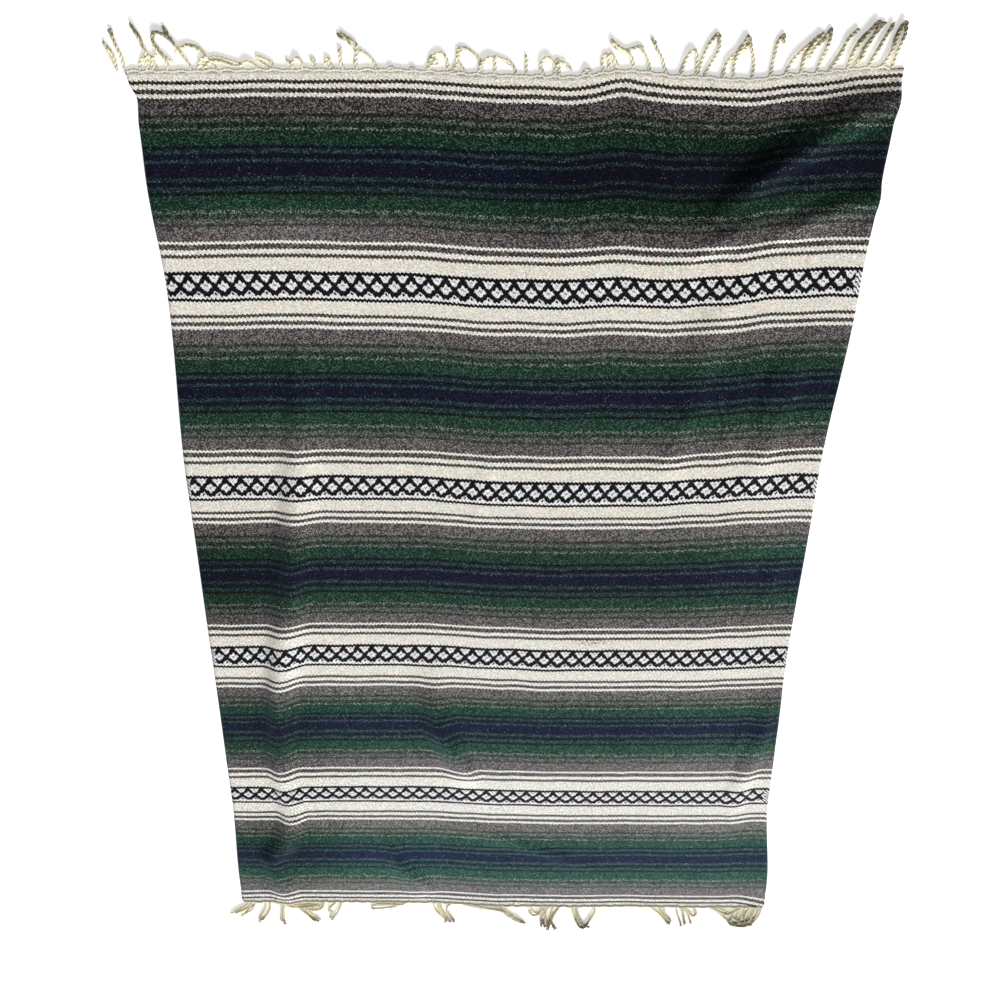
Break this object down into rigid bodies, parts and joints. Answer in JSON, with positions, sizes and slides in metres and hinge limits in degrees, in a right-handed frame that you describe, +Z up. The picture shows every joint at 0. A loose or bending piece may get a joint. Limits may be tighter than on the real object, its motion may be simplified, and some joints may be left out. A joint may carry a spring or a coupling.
{
  "type": "mexican serape blanket laid flat",
  "caption": "Woven striped blanket with tasselled ends, lying flat with a few low folds; rests on its underside.",
  "frame": {"origin": "below the middle of the whole piece, fringe included, on the surface it lies on", "axes": "+X across the cloth along its weft stripes, +Y along the warp towards the head end, +Z up off the surface"},
  "size_m": [1.324, 1.9979, 0.0267],
  "materials": {
    "woven_cloth": "matt coarse weft-faced weave, striped across in off-white, grey, green and navy",
    "fringe_cord": "matt twisted cotton cord, unbleached"
  },
  "bodies": {
    "root": {"woven_panel": "woven_cloth", "fringe_head": "fringe_cord", "fringe_foot": "fringe_cord"}
  },
  "joints": []
}
